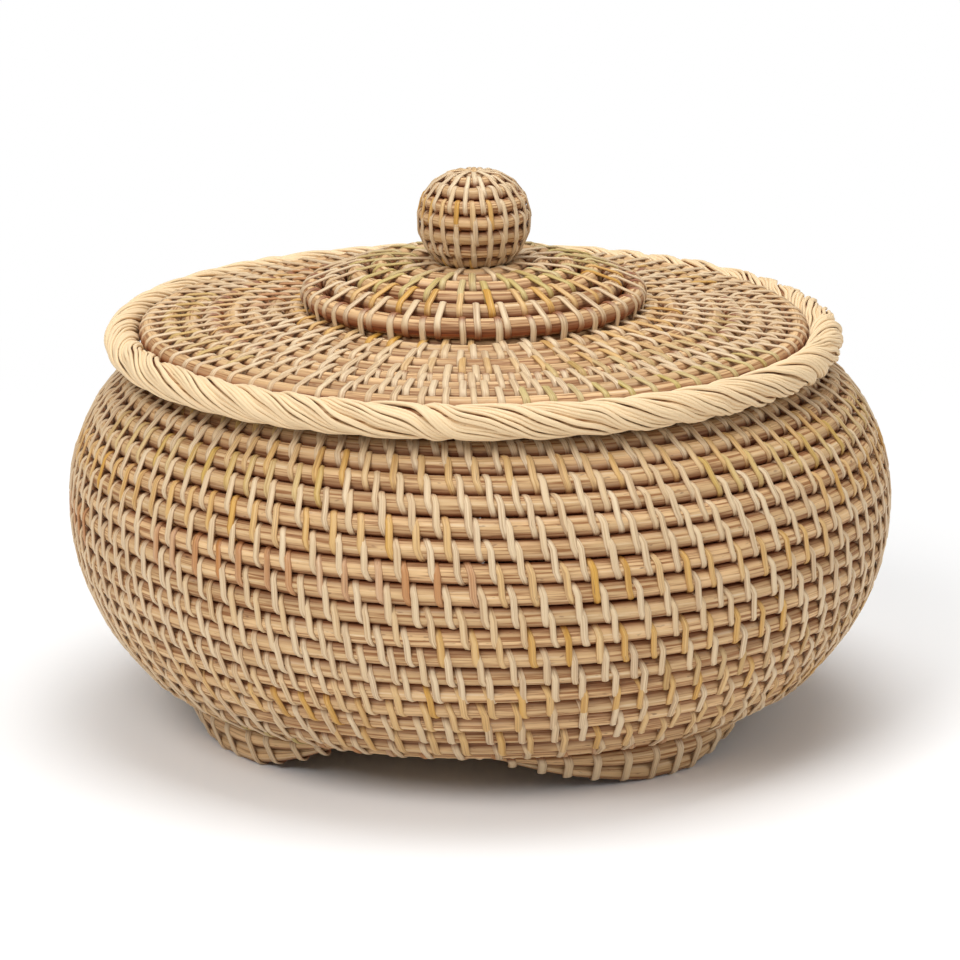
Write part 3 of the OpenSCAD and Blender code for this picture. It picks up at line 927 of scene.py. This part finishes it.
def pale_material(name, near, far):
    """Matt white that turns to plain white for the camera between two distances from the basket."""
    material = bpy.data.materials.new(name)
    material.use_nodes = True
    tree = material.node_tree
    shader = tree.nodes["Principled BSDF"]
    shader.inputs["Base Color"].default_value = (0.93, 0.93, 0.93, 1.0)
    shader.inputs["Roughness"].default_value = 0.9
    x, y, _ = result(tree, "ShaderNodeTexCoord", output="Object").parts()
    away = (((x * x + y * y).root() - near) / (far - near)).clamped().eased()
    seen = result(tree, "ShaderNodeLightPath", output="Is Camera Ray")
    glow = result(tree, "ShaderNodeEmission", {"Color": (1.0, 1.0, 1.0, 1.0), "Strength": 1.0})
    blend = add(tree, "ShaderNodeMixShader", {0: away * seen, 1: Field(tree, shader.outputs[0]), 2: glow})
    tree.links.new(blend.outputs[0], tree.nodes["Material Output"].inputs["Surface"])
    return material


def lamp(name, place, size, power, shade=(1.0, 1.0, 1.0)):
    """A square soft lamp that faces the basket."""
    data = bpy.data.lights.new(name, "AREA")
    data.size = size
    data.energy = power
    data.color = shade
    source = bpy.data.objects.new(name, data)
    source.location = place
    source.rotation_euler = (Vector((0, 0, 0.1)) - Vector(place)).to_track_quat("-Z", "Y").to_euler()
    bpy.context.scene.collection.objects.link(source)


class BASKET_OT_stage(bpy.types.Operator):
    """Set up the floor, lights and camera"""
    bl_idname = "basket.stage"
    bl_label = "Stage"

    def execute(self, context):
        stage = setting("stage")
        mesh = bpy.data.meshes.new("floor")
        half = 6.0
        mesh.from_pydata([(-half, -half, 0), (half, -half, 0), (half, half, 0), (-half, half, 0)], [], [(0, 1, 2, 3)])
        mesh.materials.append(pale_material("pale_floor", 0.22, 0.62))
        floor = bpy.data.objects.new("floor", mesh)
        context.scene.collection.objects.link(floor)

        world = bpy.data.worlds.new("white_room")
        context.scene.world = world
        world.use_nodes = True
        tree = world.node_tree
        background = tree.nodes["Background"]
        background.inputs["Color"].default_value = (1.0, 1.0, 1.0, 1.0)
        path = add(tree, "ShaderNodeLightPath")
        seen = Field(tree, path.outputs["Is Camera Ray"])
        feed(tree, background.inputs["Strength"], seen * (1.0 - stage.sky) + stage.sky)

        lamp("key_lamp", (-0.9, -1.3, 1.5), 1.1, stage.key)
        lamp("top_lamp", (0.1, 0.1, 1.7), 1.2, stage.top)
        lamp("fill_lamp", (1.5, -0.9, 0.9), 1.0, stage.fill)

        camera = bpy.data.objects.new("camera", bpy.data.cameras.new("camera"))
        camera.data.lens = stage.lens
        camera.data.sensor_width = 36.0
        aim = Vector((0, 0, stage.aim_height))
        back = Vector((0, -math.cos(stage.elevation), math.sin(stage.elevation)))
        camera.location = aim + back * stage.distance
        camera.rotation_euler = (-back).to_track_quat("-Z", "Y").to_euler()
        context.scene.collection.objects.link(camera)
        context.scene.camera = camera
        context.scene.view_settings.view_transform = "Standard"
        return {"FINISHED"}


# ---------------------------------------------------------------- add-on

STEPS = (BASKET_OT_stage, BASKET_OT_wall_rods, BASKET_OT_wall_strips, BASKET_OT_base, BASKET_OT_feet,
         BASKET_OT_lid, BASKET_OT_rim, BASKET_OT_disc, BASKET_OT_knob)


class BASKET_PT_panel(bpy.types.Panel):
    """Steps and settings of the basket"""
    bl_idname = "BASKET_PT_panel"
    bl_label = "Coiled basket"
    bl_space_type = "VIEW_3D"
    bl_region_type = "UI"
    bl_category = "Basket"

    def draw(self, context):
        for step in STEPS:
            self.layout.operator(step.bl_idname)
        for group in SETTINGS:
            box = self.layout.box()
            for name in setting(group).bl_rna.properties.keys():
                if name not in {"rna_type", "name"}:
                    box.prop(setting(group), name)


def register():
    for group, kind in SETTINGS.items():
        bpy.utils.register_class(kind)
        setattr(bpy.types.Scene, "basket_" + group, bpy.props.PointerProperty(type=kind))
    for kind in (*STEPS, BASKET_PT_panel):
        bpy.utils.register_class(kind)


def unregister():
    for kind in (BASKET_PT_panel, *reversed(STEPS)):
        bpy.utils.unregister_class(kind)
    for group, kind in SETTINGS.items():
        delattr(bpy.types.Scene, "basket_" + group)
        bpy.utils.unregister_class(kind)


def main():
    register()
    for step in STEPS:
        group, name = step.bl_idname.split(".")
        getattr(getattr(bpy.ops, group), name)()


if __name__ == "__main__":
    main()
